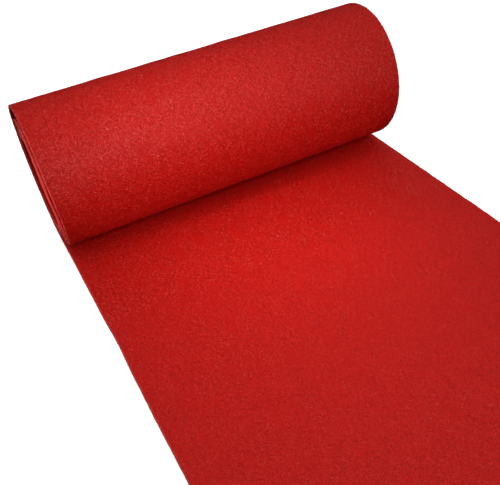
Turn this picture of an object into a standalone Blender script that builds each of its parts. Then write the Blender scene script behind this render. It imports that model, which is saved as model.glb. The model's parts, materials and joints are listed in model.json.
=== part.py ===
"""Roll of felt: one long sheet, wound loosely on itself, with its outer end lying out flat before the roll.

Metres, +Z up. The sheet follows the line of its outer face in the YZ plane, runs across in X, and is
thickened inward.
"""

import math

import bmesh
import bpy

MM = 0.001

SHEET_WIDTH = 0.300
SHEET_THICKNESS = 0.0027
ROLL_RADIUS = 0.0564

# Where the cloth lies closest on itself, as under the roll
LAYER_GAP = 0.00035

# From under the roll's axis to the cut end, along the floor
LOOSE_LENGTH = 0.405
LOOSE_STEPS = 8

# From where the cloth leaves the floor to its inner end
WOUND_TURNS = 5.62
STEPS_PER_TURN = 72

# The roll's axis stands this high when its underside rests on the loose length
AXIS_HEIGHT = ROLL_RADIUS + SHEET_THICKNESS

# How much fuller than a circle the first quarter turn is, where the cloth comes up off the floor
FIRST_RISE = 0.0032
QUARTER_TURN = 0.25
HALF_TURN = 0.5

# How the cloth is wound, a row for each place where that changes. Turns are counted from under the axis,
# and go up the back, over the top and down the front. Slack is the space to the turn outside, and left and
# right are how far each cut edge stands out past the sheet's width, inward if negative.
# turns, slack mm, left mm, right mm
WINDING = (
    (0.00, 0.35, 0.0, 0.0),
    (0.50, 0.35, -0.1, 0.0),
    (0.60, 0.35, -0.2, 0.0),
    (0.67, 0.35, 0.1, 0.0),
    (0.73, 0.35, -0.3, 0.0),
    (0.79, 0.35, -1.2, 0.0),
    (0.87, 0.35, -2.0, -0.5),
    (1.00, 0.35, -1.8, -2.4),
    (1.25, 2.00, -0.5, -0.8),
    (1.50, 9.10, 0.2, -0.3),
    (1.62, 6.00, 1.2, -0.6),
    (1.72, 2.80, 1.5, -0.9),
    (1.80, 1.50, 0.0, -1.2),
    (1.88, 1.10, -1.2, -1.4),
    (2.00, 0.35, -1.2, -1.0),
    (2.25, 0.60, 0.0, -0.6),
    (2.50, 0.35, 0.3, -0.8),
    (2.72, 1.20, 1.8, -1.2),
    (2.80, 2.00, 0.4, -1.4),
    (2.88, 1.60, -0.8, -1.5),
    (3.00, 0.35, -0.4, -1.2),
    (3.50, 0.35, 0.0, -0.7),
    (3.72, 0.35, 1.6, -1.2),
    (3.82, 0.35, 0.2, -1.3),
    (4.00, 0.35, 0.0, -1.4),
    (4.50, 0.35, 0.4, -1.0),
    (4.72, 0.35, 1.8, -1.6),
    (4.84, 0.35, 0.3, -1.4),
    (5.00, 0.35, 0.4, -1.2),
    (5.50, 0.35, 0.2, -0.9),
    (5.62, 0.35, 0.9, -1.0),
)
SLACK, LEFT, RIGHT = 1, 2, 3

# Red as it looks in even light
FELT_RED = (0.50, 0.012, 0.010, 1.0)
FELT_ROUGHNESS = 0.95


def clear_scene():
    """Remove every object that the scene starts with."""
    for obj in list(bpy.data.objects):
        bpy.data.objects.remove(obj, do_unlink=True)


def winding(turns, column):
    """Read one column of the winding table at any place along the cloth, eased from row to row."""
    if turns <= WINDING[0][0]:
        return WINDING[0][column] * MM
    for before, after in zip(WINDING, WINDING[1:]):
        if turns <= after[0]:
            part = (turns - before[0]) / (after[0] - before[0])
            eased = part * part * (3.0 - 2.0 * part)
            return (before[column] + (after[column] - before[column]) * eased) * MM
    return WINDING[-1][column] * MM


def outer_radius(step):
    """Distance from the axis to the cloth's outer face, at a whole step along the winding."""
    turns = step / STEPS_PER_TURN
    angle = 2.0 * math.pi * turns
    if step <= STEPS_PER_TURN:
        radius = ROLL_RADIUS
        if turns < QUARTER_TURN:
            radius += FIRST_RISE * math.cos(angle) ** 2
        if math.cos(angle) > 0.0:
            # The floor under the first turn's start, and the loose length under its end
            rest = 0.0 if turns < HALF_TURN else SHEET_THICKNESS + LAYER_GAP
            radius = min(radius, (AXIS_HEIGHT - rest) / math.cos(angle))
        return radius
    return outer_radius(step - STEPS_PER_TURN) - SHEET_THICKNESS - winding(turns, SLACK)


def outer_line():
    """Points (turns, y, z) along the cloth's outer face, from the cut end on the floor to the inner end."""
    points = []
    for step in range(LOOSE_STEPS):
        points.append((0.0, -LOOSE_LENGTH * (1.0 - step / LOOSE_STEPS), 0.0))
    for step in range(round(WOUND_TURNS * STEPS_PER_TURN) + 1):
        turns = step / STEPS_PER_TURN
        angle = 2.0 * math.pi * turns
        radius = outer_radius(step)
        points.append((turns, radius * math.sin(angle), AXIS_HEIGHT - radius * math.cos(angle)))
    return points


def centre_on_floor(mesh):
    """Bring the middle of the mesh's own box over the origin, with its underside on the floor."""
    xs = [v.co.x for v in mesh.verts]
    ys = [v.co.y for v in mesh.verts]
    shift = (-(min(xs) + max(xs)) / 2.0, -(min(ys) + max(ys)) / 2.0, 0.0)
    bmesh.ops.translate(mesh, verts=mesh.verts, vec=shift)


def make_felt(name):
    """Wind a flat strip of faces along the line, and let Solidify give the cloth its thickness."""
    mesh = bmesh.new()
    line = outer_line()
    last = len(line) - 1
    bmesh.ops.create_grid(mesh, x_segments=1, y_segments=last, size=1.0)
    for vert in mesh.verts:
        turns, y, z = line[round((vert.co.y + 1.0) / 2.0 * last)]
        if vert.co.x < 0.0:
            x = -SHEET_WIDTH / 2.0 - winding(turns, LEFT)
        else:
            x = SHEET_WIDTH / 2.0 + winding(turns, RIGHT)
        vert.co = (x, y, z)
    centre_on_floor(mesh)
    data = bpy.data.meshes.new(name)
    mesh.to_mesh(data)
    mesh.free()
    felt = bpy.data.objects.new(name, data)
    thick = felt.modifiers.new("thickness", "SOLIDIFY")
    thick.thickness = SHEET_THICKNESS
    # The faces look inward, and so does the thickness
    thick.offset = 1.0
    thick.use_even_offset = True
    thick.use_rim = True
    return felt


def felt_material(name):
    """Matt dyed wool felt."""
    material = bpy.data.materials.new(name)
    material.use_nodes = True
    shader = material.node_tree.nodes["Principled BSDF"]
    shader.inputs["Base Color"].default_value = FELT_RED
    shader.inputs["Roughness"].default_value = FELT_ROUGHNESS
    shader.inputs["Metallic"].default_value = 0.0
    return material


def main():
    clear_scene()
    collection = bpy.data.collections.new("roll_of_felt")
    bpy.context.scene.collection.children.link(collection)
    felt = make_felt("felt_roll")
    felt.data.materials.append(felt_material("red_felt"))
    collection.objects.link(felt)


main()
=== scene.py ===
"""A roll of thick red needled felt, wound loosely, with a loose length lying flat in front of it."""

import json
import logging
import math
from dataclasses import dataclass, field
from enum import Enum, IntEnum
from typing import Sequence

import bpy
import numpy as np
from mathutils import Matrix, Vector

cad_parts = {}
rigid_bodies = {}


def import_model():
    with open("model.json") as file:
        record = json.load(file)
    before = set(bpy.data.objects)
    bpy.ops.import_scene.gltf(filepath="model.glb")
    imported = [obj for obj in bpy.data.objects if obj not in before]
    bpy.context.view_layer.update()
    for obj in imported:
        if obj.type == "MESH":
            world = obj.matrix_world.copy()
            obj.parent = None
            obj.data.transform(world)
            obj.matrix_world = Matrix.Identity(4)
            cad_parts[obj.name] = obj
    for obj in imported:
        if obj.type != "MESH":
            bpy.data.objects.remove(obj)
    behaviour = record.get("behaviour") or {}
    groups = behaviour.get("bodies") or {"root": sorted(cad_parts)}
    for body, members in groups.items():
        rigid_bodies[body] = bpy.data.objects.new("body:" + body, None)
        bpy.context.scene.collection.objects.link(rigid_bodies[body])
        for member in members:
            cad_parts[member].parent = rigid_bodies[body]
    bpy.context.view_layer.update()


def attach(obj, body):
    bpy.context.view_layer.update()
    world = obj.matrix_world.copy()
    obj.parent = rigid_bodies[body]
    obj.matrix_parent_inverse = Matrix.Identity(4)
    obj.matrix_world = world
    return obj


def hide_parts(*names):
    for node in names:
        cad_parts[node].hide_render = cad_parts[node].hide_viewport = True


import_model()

logging.basicConfig(level=logging.INFO, format="%(message)s")
log = logging.getLogger("felt_roll")

MM = 0.001
QUARTER_TURN = 0.25
HALF_TURN = 0.5
FIBRE_IOR = 1.5
BODY = "root"


# Small helpers


def linear(code: str) -> tuple[float, float, float, float]:
    """Turn an sRGB hex colour into the linear colour that a shader takes.

    Args:
        code: The colour as six hex digits after a hash sign.

    Returns:
        Red, green, blue and full alpha.
    """
    parts = [int(code[i : i + 2], 16) / 255.0 for i in (1, 3, 5)]
    red, green, blue = (c / 12.92 if c <= 0.04045 else ((c + 0.055) / 1.055) ** 2.4 for c in parts)
    return (red, green, blue, 1.0)


def add_node(
    owner: bpy.types.Material | bpy.types.World,
    kind: str,
    settings: dict[str, object] | None = None,
    **links: object,
) -> bpy.types.Node:
    """Add one node to a material or the world, with its settings and what feeds it.

    Args:
        owner: Whose tree takes the node.
        kind: The node's type name, without its ShaderNode part.
        settings: Values for the node's own properties.
        **links: What feeds each input, a socket or a value. An input goes by its name, with _ for a space,
            or by its number after an i.

    Returns:
        The new node.
    """
    tree = owner.node_tree
    node = tree.nodes.new("ShaderNode" + kind)
    for key, value in (settings or {}).items():
        setattr(node, key, value)
    for key, value in links.items():
        numbered = key[0] == "i" and key[1:].isdigit()
        socket = node.inputs[int(key[1:])] if numbered else node.inputs[key.replace("_", " ")]
        if isinstance(value, bpy.types.NodeSocket):
            tree.links.new(value, socket)
        else:
            socket.default_value = value
    return node


def deselect_all() -> None:
    """Leave nothing selected, so that an operator acts on one piece alone."""
    for obj in bpy.context.view_layer.objects:
        obj.select_set(False)


def activate(obj: bpy.types.Object) -> None:
    """Select one object alone and make it the active one.

    Args:
        obj: The object to select.
    """
    deselect_all()
    obj.select_set(True)
    bpy.context.view_layer.objects.active = obj


def mesh_object(name: str, points: np.ndarray, faces: np.ndarray) -> bpy.types.Object:
    """Make an object of joined small shapes.

    Args:
        name: The piece's name.
        points: One row of three numbers for each vertex.
        faces: One row of three vertex numbers for each triangle.

    Returns:
        The new object, at the origin.
    """
    mesh = bpy.data.meshes.new(name)
    mesh.vertices.add(len(points))
    mesh.vertices.foreach_set("co", points.astype(np.float32).ravel())
    mesh.loops.add(faces.size)
    mesh.loops.foreach_set("vertex_index", faces.astype(np.int32).ravel())
    mesh.polygons.add(len(faces))
    mesh.polygons.foreach_set("loop_start", np.arange(0, faces.size, 3, dtype=np.int32))
    mesh.update(calc_edges=True)
    mesh.validate()
    obj = bpy.data.objects.new(name, mesh)
    bpy.context.scene.collection.objects.link(obj)
    return obj


# How the cloth lies


class Wound(IntEnum):
    """What the winding table says of a place in the roll, by column."""

    SLACK = 1
    LEFT = 2
    RIGHT = 3


class Line(IntEnum):
    """What is worked out for each row of the cloth's mesh, by column."""

    TURNS = 0
    Y = 1
    Z = 2
    LEFT = 3
    RIGHT = 4
    RUN = 5


# Turns are counted from under the roll's axis, up the back, over the top and down the front.
# Slack is the space to the turn outside.
# Left and right are how far the cut edges stand out, inward if negative.
# turns, slack mm, left mm, right mm
WINDING: tuple[tuple[float, float, float, float], ...] = (
    (0.00, 0.35, 0.0, 0.0),
    (0.50, 0.35, -0.1, 0.0),
    (0.60, 0.35, -0.2, 0.0),
    (0.67, 0.35, 0.1, 0.0),
    (0.73, 0.35, -0.3, 0.0),
    (0.79, 0.35, -1.2, 0.0),
    (0.87, 0.35, -2.0, -0.5),
    (1.00, 0.35, -1.8, -2.4),
    (1.25, 2.00, -0.5, -0.8),
    (1.50, 9.10, 0.2, -0.3),
    (1.62, 6.00, 1.2, -0.6),
    (1.72, 2.80, 1.5, -0.9),
    (1.80, 1.50, 0.0, -1.2),
    (1.88, 1.10, -1.2, -1.4),
    (2.00, 0.35, -1.2, -1.0),
    (2.25, 0.60, 0.0, -0.6),
    (2.50, 0.35, 0.3, -0.8),
    (2.72, 1.20, 1.8, -1.2),
    (2.80, 2.00, 0.4, -1.4),
    (2.88, 1.60, -0.8, -1.5),
    (3.00, 0.35, -0.4, -1.2),
    (3.50, 0.35, 0.0, -0.7),
    (3.72, 0.35, 1.6, -1.2),
    (3.82, 0.35, 0.2, -1.3),
    (4.00, 0.35, 0.0, -1.4),
    (4.50, 0.35, 0.4, -1.0),
    (4.72, 0.35, 1.8, -1.6),
    (4.84, 0.35, 0.3, -1.4),
    (5.00, 0.35, 0.4, -1.2),
    (5.50, 0.35, 0.2, -0.9),
    (5.62, 0.35, 0.9, -1.0),
)

# The loose length's left edge isn't quite straight, from its cut end to under the roll.
# distance from the axis mm, left mm
LOOSE_EDGE: tuple[tuple[float, float], ...] = (
    (405.0, 0.4),
    (330.0, 0.0),
    (230.0, 0.1),
    (185.0, -0.2),
    (145.0, -1.1),
    (110.0, -0.4),
    (60.0, -0.3),
    (0.0, 0.0),
)


def eased(rows: Sequence[Sequence[float]], place: float, column: int = 1) -> float:
    """Read one column of a table at any place, eased from row to row.

    Args:
        rows: The table, whose first column rises or falls all the way.
        place: Where to read it, in the first column's unit.
        column: The column to read.

    Returns:
        The value there, in the table's own unit.
    """
    rising = rows[-1][0] > rows[0][0]
    for before, after in zip(rows, rows[1:]):
        if (place <= after[0]) if rising else (place >= after[0]):
            part = min(max((place - before[0]) / (after[0] - before[0]), 0.0), 1.0)
            part = part * part * (3.0 - 2.0 * part)
            return before[column] + (after[column] - before[column]) * part
    return rows[-1][column]


@dataclass
class Winding:
    """The line that the cloth's outer face follows in the YZ plane, at the same sizes as the solid.

    Attributes:
        width: Width of the cloth.
        pitch_thickness: Thickness that the solid's turns are spaced for.
        radius: Radius of the outermost turn.
        layer_gap: Space between turns that lie on each other.
        loose_length: From under the roll's axis to the cut end.
        turns: Number of turns from under the roll's axis to the cloth's inner end.
        steps: Rows of the mesh in a turn.
        loose_rows: Rows of the mesh in the loose length.
        first_rise: How much fuller than a circle the first quarter turn is.
    """

    width: float = 0.300
    pitch_thickness: float = 0.0027
    radius: float = 0.0564
    layer_gap: float = 0.00035
    loose_length: float = 0.405
    turns: float = 5.62
    steps: int = 100
    loose_rows: int = 90
    first_rise: float = 0.0032
    rows: np.ndarray = field(init=False)

    def __post_init__(self) -> None:
        """Work out the rows once, for every piece that follows them."""
        self.rows = self.line()

    @property
    def axis_height(self) -> float:
        """Height of the roll's axis over the floor."""
        return self.radius + self.pitch_thickness

    @property
    def axis_y(self) -> float:
        """Where the axis stands along Y, with the whole object's box centred on the origin."""
        return (self.loose_length - self.radius) / 2.0

    @property
    def shift_x(self) -> float:
        """Offset that centres the box across, since the cut edges don't stand out alike."""
        left = max(row[Wound.LEFT] for row in WINDING)
        right = max(row[Wound.RIGHT] for row in WINDING)
        return (left - right) * MM / 2.0

    def outer_radius(self, step: int) -> float:
        """Find how far the cloth's outer face is from the axis.

        Args:
            step: The row of the mesh, counted from under the axis.

        Returns:
            The distance there.
        """
        turns = step / self.steps
        if step > self.steps:
            slack = eased(WINDING, turns, Wound.SLACK) * MM
            return self.outer_radius(step - self.steps) - self.pitch_thickness - slack
        radius = self.radius
        below = math.cos(math.tau * turns)
        if turns < QUARTER_TURN:
            radius += self.first_rise * below**2
        if below > 0.0:
            # The outermost turn comes to rest on the floor at its start and on the loose length at its end
            rest = 0.0 if turns < HALF_TURN else self.pitch_thickness + self.layer_gap
            radius = min(radius, (self.axis_height - rest) / below)
        return radius

    def line(self) -> np.ndarray:
        """Follow the cloth from its cut end on the floor to its inner end.

        Returns:
            A row for each row of the mesh, in the columns that Line names. Turns are 0 on the loose length.
        """
        rows = []
        half = self.width / 2.0
        for step in range(self.loose_rows):
            away = self.loose_length * (1.0 - step / self.loose_rows)
            left = eased(LOOSE_EDGE, away / MM) * MM
            rows.append([0.0, self.axis_y - away, 0.0, -half - left, half])
        for step in range(round(self.turns * self.steps) + 1):
            turns = step / self.steps
            angle = math.tau * turns
            radius = self.outer_radius(step)
            y = self.axis_y + radius * math.sin(angle)
            z = self.axis_height - radius * math.cos(angle)
            left = -half - eased(WINDING, turns, Wound.LEFT) * MM
            right = half + eased(WINDING, turns, Wound.RIGHT) * MM
            rows.append([turns, y, z, left, right])
        table = np.array(rows)
        table[:, [Line.LEFT, Line.RIGHT]] += self.shift_x
        steps = np.hypot(np.diff(table[:, Line.Y]), np.diff(table[:, Line.Z]))
        return np.column_stack([table, np.concatenate([[0.0], np.cumsum(steps)])])

    def inward(self) -> np.ndarray:
        """Find the way from the outer face into the cloth's thickness.

        Returns:
            A unit vector in the YZ plane for each row of the mesh.
        """
        along = np.gradient(self.rows[:, [Line.Y, Line.Z]], axis=0)
        along /= np.linalg.norm(along, axis=1)[:, None]
        return np.column_stack([-along[:, 1], along[:, 0]])

    @property
    def length(self) -> float:
        """Length of the cloth along the middle of its thickness."""
        turned = math.tau * self.turns
        return float(self.rows[-1, Line.RUN]) - turned * self.pitch_thickness / 2.0


# Finishes


@dataclass(frozen=True)
class NeedledFelt:
    """Needled wool and viscose felt, dyed in the piece: a dense mat of short crimped fibres with no weave.

    Light sinks between the fibres, so it is matt and saturated. Its colour follows the mat's height:
    painted shade down between the fibres, and paler bundles on top, partly their own tone and partly painted
    highlight.

    Attributes:
        deep_painted_shade: Painted shade, the colour down between the fibres.
        body: Colour of the mat.
        tips_and_highlight: Colour of the bundles that lie on top, partly their own paler tone and partly
            painted highlight.
        heights: Where on the mat's height from 0 to 1 those three colours are, in that order.
        bundle: Width of a bundle. Real fibres are 0.02 mm wide, too fine to show, so bundles are drawn.
        length_ratio: How many times longer than wide the bundles are.
        flank: How far a bundle's side reaches from its middle line, on the noise's scale.
        crimp: Size of the fibres' curls.
        curl: How far the curls go aside, as a share of their size.
        tuft: Size of the low lumps that the needles leave.
        tuft_share: Share of the height that the lumps have.
        relief: Height of the bundles and lumps.
        dye_patch: Size of the patches in which the dye took unevenly.
        dye_change: How much lighter or darker they are.
        roughness: Roughness of the mat.
        specular: Strength of its shine.
    """

    deep_painted_shade: str = "#8e0000"
    body: str = "#b00302"
    tips_and_highlight: str = "#d0140c"
    heights: tuple[float, float, float] = (0.22, 0.46, 0.74)
    bundle: float = 0.55 * MM
    length_ratio: float = 3.2
    flank: float = 0.13
    crimp: float = 3.5 * MM
    curl: float = 0.75
    tuft: float = 1.0 * MM
    tuft_share: float = 0.30
    relief: float = 0.18 * MM
    dye_patch: float = 14.0 * MM
    dye_change: float = 0.02
    roughness: float = 0.42
    specular: float = 0.20

    def bundles(
        self,
        material: bpy.types.Material,
        place: bpy.types.NodeSocket,
        angle: float,
        seed: float,
        size: float,
    ) -> bpy.types.NodeSocket:
        """Lay curved bundles of fibres that mostly run one way.

        Args:
            material: The material that takes the nodes.
            place: Coordinates on the cloth, in metres.
            angle: The way that they run, in degrees from across the cloth.
            seed: A shift that makes each set its own.
            size: Width of a bundle.

        Returns:
            The height of the bundles, from 0 between them to 1 along their middles.
        """
        turned = add_node(
            material,
            "Mapping",
            {"vector_type": "TEXTURE"},
            Vector=place,
            Location=(seed, 0.7 * seed, 0.0),
            Rotation=(0.0, 0.0, math.radians(angle)),
            Scale=(self.length_ratio, 1.0, 1.0),
        )
        lines = add_node(
            material,
            "TexNoise",
            {"noise_dimensions": "2D"},
            Vector=turned.outputs["Vector"],
            Scale=1.0 / size,
            Detail=1.0,
            Roughness=0.5,
            Distortion=0.5,
        )
        middle = add_node(material, "Math", {"operation": "SUBTRACT"}, i0=lines.outputs["Fac"], i1=0.5)
        away = add_node(material, "Math", {"operation": "ABSOLUTE"}, i0=middle.outputs["Value"])
        ridge = add_node(
            material,
            "MapRange",
            {"interpolation_type": "SMOOTHSTEP"},
            Value=away.outputs["Value"],
            From_Max=self.flank,
            To_Min=1.0,
            To_Max=0.0,
        )
        return ridge.outputs["Result"]

    def mat_height(
        self,
        material: bpy.types.Material,
        cloth: bpy.types.NodeSocket,
    ) -> bpy.types.NodeSocket:
        """Lay bundles over each other in four directions, on top of the needles' low lumps.

        Args:
            material: The material that takes the nodes.
            cloth: Coordinates on the cloth, in metres.

        Returns:
            The height of the mat, from 0 to 1.
        """
        bend = add_node(
            material,
            "TexNoise",
            {"noise_dimensions": "2D"},
            Vector=cloth,
            Scale=1.0 / self.crimp,
            Detail=2.0,
            Roughness=0.5,
        )
        crimped = add_node(
            material,
            "VectorMath",
            {"operation": "MULTIPLY_ADD"},
            i0=bend.outputs["Color"],
            i1=(self.curl * self.crimp, self.curl * self.crimp, 0.0),
            i2=cloth,
        ).outputs["Vector"]
        # angle, seed, share of the bundle's width
        sets = ((14.0, 0.11, 1.0), (61.0, 0.37, 0.8), (104.0, 0.83, 1.1), (152.0, 1.29, 0.9))
        top, *layers = (self.bundles(material, crimped, *one[:2], self.bundle * one[2]) for one in sets)
        for layer in layers:
            top = add_node(material, "Math", {"operation": "MAXIMUM"}, i0=top, i1=layer).outputs["Value"]
        lumps = add_node(
            material,
            "TexNoise",
            {"noise_dimensions": "2D"},
            Vector=crimped,
            Scale=1.0 / self.tuft,
            Detail=2.0,
            Roughness=0.6,
        )
        mixed = add_node(
            material,
            "Mix",
            {"data_type": "FLOAT"},
            i0=self.tuft_share,
            i2=top,
            i3=lumps.outputs["Fac"],
        )
        return mixed.outputs[0]

    def material(self) -> bpy.types.Material:
        """Make the material, which follows the cloth by its UV map in metres.

        Returns:
            The new material.
        """
        felt = bpy.data.materials.new("needled wool felt with painted shade")
        felt.use_nodes = True
        tree = felt.node_tree
        shader = tree.nodes["Principled BSDF"]
        cloth = add_node(felt, "UVMap", {"uv_map": "cloth"}).outputs["UV"]
        height = self.mat_height(felt, cloth)
        # Painted shade and highlight: the colour darkens down between the bundles and pales on the bundles
        # on top, which are also a little paler in their own tone
        ramp = add_node(felt, "ValToRGB", Fac=height)
        stops = ramp.color_ramp.elements
        stops[0].position, stops[0].color = self.heights[0], linear(self.deep_painted_shade)
        stops[1].position, stops[1].color = self.heights[2], linear(self.tips_and_highlight)
        stops.new(self.heights[1]).color = linear(self.body)
        cloudy = add_node(
            felt,
            "TexNoise",
            {"noise_dimensions": "2D"},
            Vector=cloth,
            Scale=1.0 / self.dye_patch,
            Detail=3.0,
        )
        shade = add_node(
            felt,
            "MapRange",
            Value=cloudy.outputs["Fac"],
            From_Min=0.3,
            From_Max=0.7,
            To_Min=1.0 - self.dye_change,
            To_Max=1.0 + self.dye_change,
        )
        colour = add_node(
            felt,
            "VectorMath",
            {"operation": "SCALE"},
            i0=ramp.outputs["Color"],
            Scale=shade.outputs["Result"],
        )
        bump = add_node(felt, "Bump", Strength=1.0, Distance=self.relief, Height=height)
        tree.links.new(colour.outputs["Vector"], shader.inputs["Base Color"])
        tree.links.new(bump.outputs["Normal"], shader.inputs["Normal"])
        shader.inputs["Roughness"].default_value = self.roughness
        shader.inputs["IOR"].default_value = FIBRE_IOR
        shader.inputs["Specular IOR Level"].default_value = self.specular
        return felt


@dataclass(frozen=True)
class CutFelt:
    """The cut edge of needled felt: fibres sliced across, which spread and catch the light. Its colour is a
    paler copy of the felt's, painted highlight for that light.

    Attributes:
        body: Colour of the sliced mat, paler than the faces' as painted highlight.
        tips_and_highlight: Colour of the spread fibre ends, paler still as painted highlight.
        heights: Where on the grain's height from 0 to 1 those two colours are, in that order.
        grain: Spacing of the fibre bundles that are seen end on.
        relief: Height of the bundles' ends.
        roughness: Roughness of the cut.
        specular: Strength of its shine.
        sheen: Strength of the bloom that the standing ends give at a low angle.
        sheen_roughness: Roughness of that bloom.
        bloom: Colour of that bloom.
    """

    body: str = "#d41c18"
    tips_and_highlight: str = "#f2564c"
    heights: tuple[float, float] = (0.38, 0.64)
    grain: float = 0.6 * MM
    relief: float = 0.3 * MM
    roughness: float = 0.9
    specular: float = 0.2
    sheen: float = 0.1
    sheen_roughness: float = 0.45
    bloom: str = "#f6958e"

    def material(self) -> bpy.types.Material:
        """Make the material, which reads Object coordinates because the edge is only a thin line.

        Returns:
            The new material.
        """
        cut = bpy.data.materials.new("cut edge of wool felt with painted highlight")
        cut.use_nodes = True
        tree = cut.node_tree
        shader = tree.nodes["Principled BSDF"]
        place = add_node(cut, "TexCoord").outputs["Object"]
        grain = add_node(
            cut,
            "TexNoise",
            {"noise_dimensions": "3D"},
            Vector=place,
            Scale=1.0 / self.grain,
            Detail=3.0,
            Roughness=0.6,
            Distortion=0.6,
        ).outputs["Fac"]
        # Painted highlight: both colours are paler than the felt's faces, for the light that the spread ends
        # catch
        ramp = add_node(cut, "ValToRGB", Fac=grain)
        stops = ramp.color_ramp.elements
        stops[0].position, stops[0].color = self.heights[0], linear(self.body)
        stops[1].position, stops[1].color = self.heights[1], linear(self.tips_and_highlight)
        bump = add_node(cut, "Bump", Strength=0.9, Distance=self.relief, Height=grain)
        tree.links.new(ramp.outputs["Color"], shader.inputs["Base Color"])
        tree.links.new(bump.outputs["Normal"], shader.inputs["Normal"])
        shader.inputs["Roughness"].default_value = self.roughness
        shader.inputs["IOR"].default_value = FIBRE_IOR
        shader.inputs["Specular IOR Level"].default_value = self.specular
        shader.inputs["Sheen Weight"].default_value = self.sheen
        shader.inputs["Sheen Roughness"].default_value = self.sheen_roughness
        shader.inputs["Sheen Tint"].default_value = linear(self.bloom)
        return cut


@dataclass(frozen=True)
class LooseWool:
    """Loose wool fibres of the same dye lot: fine, crimped and slightly shiny along their length.

    Attributes:
        dark: Colour of the dullest bundles.
        middle: Colour of most of them.
        light: Colour of the palest few, partly their own paler tone and partly painted glint for the light
            that they catch.
        shades: The bundles' shades from 0 to 1 at which those three colours are, in that order.
        roughness: Roughness of a fibre.
        specular: Strength of its shine.
    """

    dark: str = "#980200"
    middle: str = "#cc1510"
    light: str = "#ea453b"
    shades: tuple[float, float, float] = (0.05, 0.42, 0.95)
    roughness: float = 0.36
    specular: float = 0.26

    def material(self) -> bpy.types.Material:
        """Make the material, whose colour follows each bundle's own shade.

        Returns:
            The new material.
        """
        wool = bpy.data.materials.new("loose wool fibres with painted glint")
        wool.use_nodes = True
        shader = wool.node_tree.nodes["Principled BSDF"]
        shade = add_node(wool, "Attribute", {"attribute_name": "shade"}).outputs["Fac"]
        # The palest shades are partly the bundles' own tone and partly painted glint
        ramp = add_node(wool, "ValToRGB", Fac=shade)
        stops = ramp.color_ramp.elements
        stops[0].position, stops[0].color = self.shades[0], linear(self.dark)
        stops[1].position, stops[1].color = self.shades[2], linear(self.light)
        stops.new(self.shades[1]).color = linear(self.middle)
        wool.node_tree.links.new(ramp.outputs["Color"], shader.inputs["Base Color"])
        shader.inputs["Roughness"].default_value = self.roughness
        shader.inputs["IOR"].default_value = FIBRE_IOR
        shader.inputs["Specular IOR Level"].default_value = self.specular
        return wool


@dataclass(frozen=True)
class OpalAcrylic:
    """White opal acrylic, cast with a matt grain and lit from below, so that it is white up to the felt.

    Attributes:
        colour: Its colour.
        tooth: Size of the matt grain.
        relief: Height of the matt grain.
        roughness: Roughness of its face.
        glow: Strength of the light that comes through it.
    """

    colour: str = "#f8f8f8"
    tooth: float = 1.5 * MM
    relief: float = 0.03 * MM
    roughness: float = 0.9
    glow: float = 0.72

    def material(self) -> bpy.types.Material:
        """Make the material, which reads Object coordinates.

        Returns:
            The new material.
        """
        opal = bpy.data.materials.new("opal acrylic lit from below")
        opal.use_nodes = True
        shader = opal.node_tree.nodes["Principled BSDF"]
        place = add_node(opal, "TexCoord").outputs["Object"]
        grain = add_node(opal, "TexNoise", Vector=place, Scale=1.0 / self.tooth, Detail=2.0).outputs["Fac"]
        bump = add_node(opal, "Bump", Strength=0.2, Distance=self.relief, Height=grain)
        opal.node_tree.links.new(bump.outputs["Normal"], shader.inputs["Normal"])
        shader.inputs["Base Color"].default_value = linear(self.colour)
        shader.inputs["Roughness"].default_value = self.roughness
        shader.inputs["Emission Color"].default_value = linear("#ffffff")
        shader.inputs["Emission Strength"].default_value = self.glow
        return opal


# The cloth


@dataclass(frozen=True)
class Swell:
    """Slow, low unevenness of the cloth, as a few crossing waves.

    Attributes:
        height: About how high it is.
        size: Length of its shortest wave.
        spread: How many times longer the longest wave may be.
        count: Number of waves.
        seed: Where the waves' headings and phases start from.
    """

    height: float
    size: float
    spread: float = 2.4
    count: int = 9
    seed: int = 5

    def at(self, across: np.ndarray, along: np.ndarray) -> np.ndarray:
        """Read the swell at places on the cloth.

        Args:
            across: Distance from the left edge.
            along: Distance from the cut end.

        Returns:
            Its height at each place, up or down.
        """
        rng = np.random.default_rng(self.seed)
        total = np.zeros(np.broadcast(across, along).shape)
        for _ in range(self.count):
            heading, phase = rng.uniform(0.0, math.tau, 2)
            wave = math.tau / (self.size * rng.uniform(1.0, self.spread))
            total += np.sin((across * math.cos(heading) + along * math.sin(heading)) * wave + phase)
        return total * self.height / math.sqrt(self.count)


# How much of the swell shows: none where the cloth is pressed under the roll, little between turns.
# turns, share
FREEDOM: tuple[tuple[float, float], ...] = (
    (0.00, 0.0),
    (0.12, 0.2),
    (0.25, 1.0),
    (0.80, 1.0),
    (0.92, 0.1),
    (1.10, 0.1),
    (1.45, 0.6),
    (1.70, 0.2),
    (2.00, 0.1),
    (5.62, 0.1),
)


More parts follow.
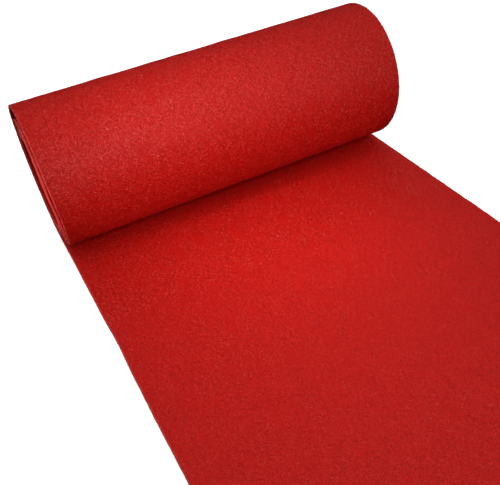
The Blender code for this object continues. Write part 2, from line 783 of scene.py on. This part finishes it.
@dataclass
class FeltSheet:
    """The whole length of felt, one sheet from its cut end on the floor to its inner end in the roll.

    Attributes:
        winding: How the cloth lies.
        thickness: Thickness of the cloth, a little more than the solid's, so that its turns nearly touch.
        across: Columns of faces across the width.
        rounding: Radius of the cut edges' corners.
        swell: The cloth's unevenness.
        pressed: Length of cloth in front of the roll over which the swell dies away.
        wander: How the cut edges wander aside.
        edges_apart: How many widths apart the wander is read at the two edges, so that they aren't alike.
    """

    winding: Winding
    thickness: float = 0.00285
    across: int = 30
    rounding: float = 0.9 * MM
    swell: Swell = Swell(0.16 * MM, 24.0 * MM)
    pressed: float = 0.05
    wander: Swell = Swell(0.10 * MM, 5.0 * MM, seed=8)
    edges_apart: float = 9.0

    def lift(self, across: np.ndarray, along: np.ndarray) -> np.ndarray:
        """How far the cloth swells away from what it lies against, toward the thickness if negative.

        Args:
            across: Distance from the left edge.
            along: Distance from the cut end.

        Returns:
            The distance at each place.
        """
        rows = self.winding.rows
        turns = np.interp(along, rows[:, Line.RUN], rows[:, Line.TURNS])
        share = np.interp(turns, *np.array(FREEDOM).T)
        ahead = self.winding.loose_length - along
        share = np.where(ahead > 0.0, -np.clip(ahead / self.pressed, 0.0, 1.0), share)
        return np.abs(self.swell.at(across, along)) * share

    def place(self, across: np.ndarray, along: np.ndarray, depth: np.ndarray | float) -> np.ndarray:
        """Take places on the flat cloth to where the cloth lies.

        Args:
            across: Distance from the left edge.
            along: Distance from the cut end.
            depth: Distance from the outer face into the thickness.

        Returns:
            The points, with a last axis of three.
        """
        run = self.winding.rows[:, Line.RUN]
        columns = self.winding.rows[:, [Line.Y, Line.Z, Line.LEFT, Line.RIGHT]].T
        y, z, left, right = (np.interp(along, run, column) for column in columns)
        into_y, into_z = (np.interp(along, run, column) for column in self.winding.inward().T)
        x = left + (right - left) * across / self.winding.width
        into = depth - self.lift(across, along)
        # Past the cut end, the line goes straight on
        y = y + np.minimum(along, 0.0)
        return np.stack([x, y + into_y * into, z + into_z * into], axis=-1)

    def wind(self, mesh: bpy.types.Mesh) -> None:
        """Take each vertex of the flat grid to where the cloth lies, with its place on the cloth as UV.

        Args:
            mesh: A grid that runs from -1 to 1 both ways.
        """
        rows = self.winding.rows
        flat = np.empty(len(mesh.vertices) * 3)
        mesh.vertices.foreach_get("co", flat)
        flat = flat.reshape(-1, 3)
        along = rows[np.rint((flat[:, 1] + 1.0) / 2.0 * (len(rows) - 1)).astype(int), Line.RUN]
        across = (flat[:, 0] + 1.0) / 2.0 * self.winding.width
        placed = self.place(across, along, 0.0)
        edge = np.abs(flat[:, 0]) > 0.999
        placed[edge, 0] += self.wander.at(across[edge] * self.edges_apart, along[edge])
        mesh.vertices.foreach_set("co", placed.ravel())
        while mesh.uv_layers:
            mesh.uv_layers.remove(mesh.uv_layers[0])
        layer = mesh.uv_layers.new(name="cloth")
        corner = np.empty(len(mesh.loops), np.int32)
        mesh.loops.foreach_get("vertex_index", corner)
        on_cloth = np.column_stack([across, along])
        layer.uv.foreach_set("vector", on_cloth[corner].astype(np.float32).ravel())
        mesh.update()

    def build(self) -> bpy.types.Object:
        """Wind a flat grid of faces into the roll, thicken it and round its cut edges.

        Returns:
            The new piece.
        """
        deselect_all()
        bpy.ops.mesh.primitive_grid_add(
            x_subdivisions=self.across,
            y_subdivisions=len(self.winding.rows) - 1,
            size=2.0,
            location=(0.0, 0.0, 0.0),
        )
        sheet = bpy.context.object
        sheet.name = "felt_sheet"
        sheet.data.name = "felt_sheet"
        self.wind(sheet.data)
        # The faces have the first material, the cut edges the second
        sheet.data.materials.append(NeedledFelt().material())
        sheet.data.materials.append(CutFelt().material())
        cut = len(sheet.data.materials) - 1
        thick = sheet.modifiers.new("thickness", "SOLIDIFY")
        thick.thickness = self.thickness
        thick.offset = 1.0
        thick.use_even_offset = True
        thick.use_rim = True
        thick.material_offset_rim = cut
        corners = sheet.modifiers.new("rounded cut", "BEVEL")
        corners.width = self.rounding
        corners.segments = 3
        corners.limit_method = "ANGLE"
        corners.angle_limit = math.radians(60.0)
        corners.material = cut
        activate(sheet)
        bpy.ops.object.modifier_apply(modifier=thick.name)
        bpy.ops.object.modifier_apply(modifier=corners.name)
        bpy.ops.object.shade_smooth_by_angle(angle=math.radians(50.0))
        return sheet


# The fibres that stand up from the cloth


class Face(Enum):
    """Where a lot of loose fibres lies on the cloth."""

    OUTSIDE = "outside"
    INSIDE = "inside"
    CUT_EDGES = "cut edges"
    CUT_END = "cut end"


@dataclass(frozen=True)
class Bundle:
    """The form of a few crimped fibres that have come up from the mat together, as a narrow ribbon.

    Single fibres are too fine to show, so each ribbon stands for a few.

    Attributes:
        length: Shortest and longest bundle.
        width: Narrowest and widest bundle.
        arch: Lowest and highest middle over the mat.
        steps: Points along it.
        curl: How far it usually turns from end to end, in radians.
        crimp: How far it turns aside at a point at most, in radians.
        sunk: Depth of its ends in the mat.
        taper: Share of its width that is gone at its ends.
        lean: How far it is rolled to one side at most, in radians.
    """

    length: tuple[float, float] = (1.0 * MM, 2.6 * MM)
    width: tuple[float, float] = (0.30 * MM, 0.48 * MM)
    arch: tuple[float, float] = (0.04 * MM, 0.20 * MM)
    steps: int = 3
    curl: float = 1.1
    crimp: float = 0.5
    sunk: float = 0.03 * MM
    taper: float = 0.55
    lean: float = 0.45


@dataclass(frozen=True)
class FibreLot:
    """A lot of bundles that arch over one face of the cloth.

    Attributes:
        name: The piece's name.
        face: Where they lie.
        count: How many there are.
        stretch: Where they start and end, as distances from the cut end.
        seed: Where their places and shapes start from.
        bundle: Their form.
        variety: How much of the wool's range of shades they show.
        paler: How much paler than the middle of that range they are.
        overhang: How far they may stand out past the cloth's edges.
        cut_band: On a cut edge, the part of the thickness that they start from.
        cut_slant: On a cut edge, how much of their length goes through the thickness.
        cut_width: On a cut edge, how much of their width shows along it.
    """

    name: str
    face: Face
    count: int
    stretch: tuple[float, float]
    seed: int
    bundle: Bundle
    variety: float = 1.0
    paler: float = 0.0
    overhang: float = 0.3 * MM
    cut_band: tuple[float, float] = (0.1, 0.9)
    cut_slant: float = 0.12
    cut_width: float = 0.4

    def scattered(self, width: float, rng: np.random.Generator) -> tuple[np.ndarray, np.ndarray]:
        """Scatter places over the stretch, one in each cell of a fine grid, so that they lie evenly dense.

        Args:
            width: Width of the cloth.
            rng: Source of the places.

        Returns:
            Distance across and distance along of each place.
        """
        start, end = self.stretch
        columns = max(round(math.sqrt(self.count * width / max(end - start, MM))), 1)
        rows = math.ceil(self.count / columns)
        cell = np.arange(self.count)[:, None]
        across = (cell % columns + rng.random((self.count, 1))) / columns * width
        along = start + (cell // columns + rng.random((self.count, 1))) / rows * (end - start)
        return across, along

    def shades(self, rng: np.random.Generator) -> np.ndarray:
        """Give each bundle its own shade, with four neighbours never alike, so that none cluster.

        Args:
            rng: Source of the shades.

        Returns:
            The shades, one for each bundle.
        """
        fours = rng.random((math.ceil(self.count / 4), 4)).argsort(axis=1).ravel()[: self.count]
        even = (fours + rng.random(self.count)) / 4.0
        return 0.5 + self.paler + (even - 0.5) * self.variety

    def courses(self, sheet: FeltSheet, rng: np.random.Generator) -> tuple[np.ndarray, ...]:
        """Lay out each bundle's middle line on the flat cloth.

        Args:
            sheet: The cloth that they lie on.
            rng: Source of their places and shapes.

        Returns:
            Distance across, distance along, depth and heading at each point of each bundle.
        """
        n = self.count
        form = self.bundle
        width, thickness = sheet.winding.width, sheet.thickness
        run = np.linspace(-0.5, 0.5, form.steps)[None, :]
        step = rng.uniform(*form.length, (n, 1)) / (form.steps - 1)
        start_across, along = self.scattered(width, rng)
        heading = rng.uniform(0.0, math.tau, (n, 1))
        heading = heading + rng.normal(0.0, form.curl, (n, 1)) * run
        heading = heading + rng.uniform(-form.crimp, form.crimp, (n, form.steps))
        rise = rng.uniform(*form.arch, (n, 1)) * (1.0 - (2.0 * run) ** 2) - form.sunk
        forth = np.cumsum(np.cos(heading) * step, axis=1)
        aside = np.cumsum(np.sin(heading) * step, axis=1)
        forth -= forth.mean(axis=1, keepdims=True)
        aside -= aside.mean(axis=1, keepdims=True)
        if self.face in (Face.OUTSIDE, Face.INSIDE):
            across = np.clip(start_across + forth, -self.overhang, width + self.overhang)
            depth = -rise if self.face is Face.OUTSIDE else thickness + rise
            return across, np.maximum(along + aside, -self.overhang), depth, heading
        depth = rng.uniform(*self.cut_band, (n, 1)) * thickness + self.cut_slant * forth
        if self.face is Face.CUT_EDGES:
            side = rng.integers(0, 2, (n, 1))
            across = side * width + np.where(side > 0, rise, -rise)
            return across, along + aside, depth, heading
        return np.clip(start_across + aside, 0.0, width), -rise, depth, heading

    def build(self, sheet: FeltSheet, finish: bpy.types.Material) -> bpy.types.Object:
        """Make all the bundles as one mesh.

        Args:
            sheet: The cloth that they lie on.
            finish: Their material.

        Returns:
            The new piece.
        """
        form = self.bundle
        steps = form.steps
        rng = np.random.default_rng(self.seed)
        across, along, depth, heading = self.courses(sheet, rng)
        run = np.linspace(-1.0, 1.0, steps)[None, :]
        half = 0.5 * rng.uniform(*form.width, (self.count, 1)) * (1.0 - form.taper * run**2)
        lean = rng.uniform(-form.lean, form.lean, (self.count, 1))
        sideways, up = half * np.cos(lean), half * np.sin(lean)
        if self.face in (Face.OUTSIDE, Face.INSIDE):
            shift = (-np.sin(heading) * sideways, np.cos(heading) * sideways, up)
        else:
            shift = (np.zeros_like(along), self.cut_width * sideways, up)
        left = sheet.place(across + shift[0], along + shift[1], depth + shift[2])
        right = sheet.place(across - shift[0], along - shift[1], depth - shift[2])
        points = np.stack([left, right], axis=2).reshape(-1, 3)
        first = 2 * (np.arange(self.count)[:, None] * steps + np.arange(steps - 1)[None, :])
        # Two triangles between one pair of points and the next, which face away from the cloth
        corners = (0, 1, 3, 0, 3, 2) if self.face is Face.OUTSIDE else (0, 3, 1, 0, 2, 3)
        faces = (first.reshape(-1, 1) + np.array(corners)[None, :]).reshape(-1, 3)
        piece = mesh_object(self.name, points, faces)
        shade = piece.data.attributes.new("shade", "FLOAT", "POINT")
        shade.data.foreach_set("value", np.repeat(self.shades(rng), 2 * steps).astype(np.float32))
        piece.data.materials.append(finish)
        piece.data.shade_smooth()
        return piece


# The studio


class Shade(Enum):
    """What a studio lamp shines through."""

    SNOOT = "SPOT"
    PANEL = "AREA"


@dataclass(frozen=True)
class Lamp:
    """A studio lamp, either a soft-edged round beam or a square panel.

    Attributes:
        name: What it does.
        shade: What it shines through.
        place: Where it stands.
        aim: The point that it faces.
        size: Radius of its diffuser, or the panel's side.
        power: Its power in watts.
        beam: Full angle of a round beam in degrees.
    """

    name: str
    shade: Shade
    place: tuple[float, float, float]
    aim: tuple[float, float, float]
    size: float
    power: float
    beam: float = 45.0

    def build(self) -> None:
        """Add the lamp to the scene."""
        data = bpy.data.lights.new(self.name, self.shade.value)
        data.energy = self.power
        if self.shade is Shade.SNOOT:
            data.spot_size = math.radians(self.beam)
            data.spot_blend = 1.0
            data.shadow_soft_size = self.size
        else:
            data.shape = "SQUARE"
            data.size = self.size
        lamp = bpy.data.objects.new(self.name, data)
        lamp.location = self.place
        lamp.rotation_euler = (Vector(self.aim) - Vector(self.place)).to_track_quat("-Z", "Y").to_euler()
        bpy.context.scene.collection.objects.link(lamp)


@dataclass
class Studio:
    """The white table, the soft light and the camera.

    Attributes:
        table: Finish of the table.
        table_side: Side of the table.
        table_drop: How far the table is under the cloth, so that its lowest fibres lie on it.
        sky: Strength of the light from all round above.
        horizon: Height, on a sphere of radius 1, that this light reaches down to.
        left_share: Share of it that comes from the left, where the room is darker.
        left_fade: Where, across that sphere, it grows from that share to its full strength.
        lamps: The lamps.
        eye: Where the camera stands.
        turn: The camera's turn, as an axis whose length is the angle in radians.
        lens: Focal length on a 36 mm wide sensor.
        shift: How far the photograph's frame is off the lens axis.
    """

    table: OpalAcrylic = OpalAcrylic()
    table_side: float = 80.0
    table_drop: float = 0.05 * MM
    sky: float = 0.81
    horizon: float = -0.02
    left_share: float = 0.15
    left_fade: tuple[float, float] = (-0.8, 0.0)
    lamps: tuple[Lamp, ...] = (
        Lamp(
            "lamp over the camera",
            Shade.SNOOT,
            place=(-0.15, -0.35, 0.45),
            aim=(-0.01, 0.145, 0.095),
            size=0.07,
            power=2.8,
            beam=43.0,
        ),
        Lamp(
            "lamp on the left half",
            Shade.SNOOT,
            place=(-0.12, -0.30, 0.40),
            aim=(-0.075, 0.14, 0.105),
            size=0.05,
            power=2.2,
            beam=17.0,
        ),
        Lamp(
            "overhead lamp",
            Shade.SNOOT,
            place=(0.0, 0.0, 0.55),
            aim=(0.0, 0.07, 0.03),
            size=0.07,
            power=3.5,
            beam=32.0,
        ),
        Lamp(
            "lamp on the loose length",
            Shade.SNOOT,
            place=(-0.02, -0.17, 0.55),
            aim=(-0.02, -0.03, 0.0),
            size=0.07,
            power=2.6,
            beam=42.0,
        ),
        Lamp(
            "panel in front",
            Shade.PANEL,
            place=(0.1, -1.0, 0.45),
            aim=(0.0, 0.08, 0.04),
            size=0.6,
            power=1.4,
        ),
        Lamp(
            "panel behind",
            Shade.PANEL,
            place=(-0.90, 0.45, 0.50),
            aim=(0.0, 0.10, 0.04),
            size=0.6,
            power=0.5,
        ),
        Lamp(
            "snoot on the left end",
            Shade.SNOOT,
            place=(-0.95, 0.45, 0.10),
            aim=(-0.15, 0.125, 0.065),
            size=0.03,
            power=28.0,
            beam=10.0,
        ),
    )
    eye: tuple[float, float, float] = (-0.17951, -0.31204, 0.32077)
    turn: tuple[float, float, float] = (2.24548, -0.60856, 0.13533)
    lens: float = 47.77
    shift: tuple[float, float] = (-0.02858, 0.13163)

    def build_floor(self) -> None:
        """Lay a seamless white table just under the cloth's lowest fibres."""
        deselect_all()
        bpy.ops.mesh.primitive_plane_add(size=self.table_side, location=(0.0, 0.0, 0.0))
        table = bpy.context.object
        table.name = "white_table"
        table.data.transform(Matrix.Translation((0.0, 0.0, -self.table_drop)))
        table.data.materials.append(self.table.material())
        # The photographer's table throws no light back up at the roll
        table.visible_diffuse = False
        table.visible_glossy = False

    def build_camera(self) -> None:
        """Set the camera where the photograph was taken from."""
        data = bpy.data.cameras.new("photographer")
        data.lens = self.lens
        data.sensor_width = 36.0
        data.shift_x, data.shift_y = self.shift
        data.clip_start = 0.01
        camera = bpy.data.objects.new("photographer", data)
        turn = Vector(self.turn)
        rows = Matrix.Rotation(turn.length, 3, turn.normalized())
        axes = Matrix((rows[0], -rows[1], -rows[2])).transposed()
        camera.matrix_world = Matrix.Translation(self.eye) @ axes.to_4x4()
        bpy.context.scene.collection.objects.link(camera)
        bpy.context.scene.camera = camera

    def build_sky(self) -> None:
        """Light the room from all round above the table, less from the left."""
        world = bpy.data.worlds.new("studio")
        world.use_nodes = True
        sky = world.node_tree.nodes["Background"]
        sky.inputs["Color"].default_value = (1.0, 1.0, 1.0, 1.0)
        way = add_node(world, "TexCoord").outputs["Generated"]
        parts = add_node(world, "SeparateXYZ", Vector=way).outputs
        above = add_node(world, "Math", {"operation": "GREATER_THAN"}, i0=parts["Z"], i1=self.horizon)
        side = add_node(
            world,
            "MapRange",
            {"interpolation_type": "SMOOTHSTEP"},
            Value=parts["X"],
            From_Min=self.left_fade[0],
            From_Max=self.left_fade[1],
            To_Min=self.left_share * self.sky,
            To_Max=self.sky,
        )
        light = add_node(
            world,
            "Math",
            {"operation": "MULTIPLY"},
            i0=above.outputs["Value"],
            i1=side.outputs["Result"],
        )
        world.node_tree.links.new(light.outputs["Value"], sky.inputs["Strength"])
        bpy.context.scene.world = world
        # The light from all round is too soft to leave a sheen
        world.cycles_visibility.glossy = False

    def build(self) -> None:
        """Build the floor, the lights and the camera."""
        self.build_floor()
        self.build_sky()
        for lamp in self.lamps:
            lamp.build()
        self.build_camera()
        bpy.context.scene.view_settings.view_transform = "Standard"


def fibre_lots(winding: Winding) -> list[FibreLot]:
    """Share the loose fibres out over the faces that show.

    Args:
        winding: How the cloth lies.

    Returns:
        The lots, each small enough for one piece.
    """
    loose = winding.loose_length
    run = winding.rows[:, Line.RUN]
    turn = run[winding.loose_rows + winding.steps] - loose
    # All of the outermost turn but what rests on the loose length
    shown = (loose + 0.05 * turn, loose + 0.95 * turn)
    edges = (0.0, run[-1])
    cut_end = (0.0, 0.0)
    # The loose length's three stretches, the last of them up to the roll's underside
    near = (0.0, 0.18)
    middle = (0.18, 0.28)
    far = (0.28, loose - 10.0 * MM)
    # The cloth's inner face is the smoother one, with finer bundles, and smoothest by its cut end
    coarse = Bundle()
    rough = Bundle((1.0 * MM, 2.6 * MM), (0.28 * MM, 0.44 * MM), (0.03 * MM, 0.18 * MM))
    smooth = Bundle((0.9 * MM, 2.2 * MM), (0.22 * MM, 0.38 * MM), (0.03 * MM, 0.16 * MM))
    stray = Bundle((4.0 * MM, 9.0 * MM), (0.12 * MM, 0.22 * MM), (0.10 * MM, 0.26 * MM), steps=6)
    cut = Bundle((1.5 * MM, 4.0 * MM), (0.10 * MM, 0.20 * MM), (0.10 * MM, 0.45 * MM))
    return [
        FibreLot("roll_fibres_a", Face.OUTSIDE, 40000, shown, 11, coarse),
        FibreLot("roll_fibres_b", Face.OUTSIDE, 40000, shown, 12, coarse),
        FibreLot("roll_stray_fibres", Face.OUTSIDE, 6000, shown, 17, stray, variety=0.5, paler=0.25),
        FibreLot("loose_length_fibres_near", Face.INSIDE, 40000, near, 13, smooth, variety=0.55),
        FibreLot("loose_length_fibres_middle", Face.INSIDE, 24000, middle, 14, smooth, variety=0.85),
        FibreLot("loose_length_fibres_far", Face.INSIDE, 30000, far, 18, rough, variety=1.3),
        FibreLot("cut_edge_fibres", Face.CUT_EDGES, 16000, edges, 15, cut),
        FibreLot("cut_end_fibres", Face.CUT_END, 1200, cut_end, 16, cut),
    ]


def dress(piece: bpy.types.Object) -> None:
    """Tie a new piece to the roll's body and log how many faces it has.

    Args:
        piece: The new piece.
    """
    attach(piece, BODY)
    log.info("%s: %d faces", piece.name, len(piece.data.polygons))


def main() -> None:
    """Build the cloth, its loose fibres and the studio in order."""
    winding = Winding()
    cloth = FeltSheet(winding)
    sheet = cloth.build()
    dress(sheet)
    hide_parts("felt_roll")
    wool = LooseWool().material()
    lots = [lot.build(cloth, wool) for lot in fibre_lots(winding)]
    for piece in lots:
        dress(piece)
    log.info("cloth is %.3f m long", winding.length)
    Studio().build()


if __name__ == "__main__":
    main()
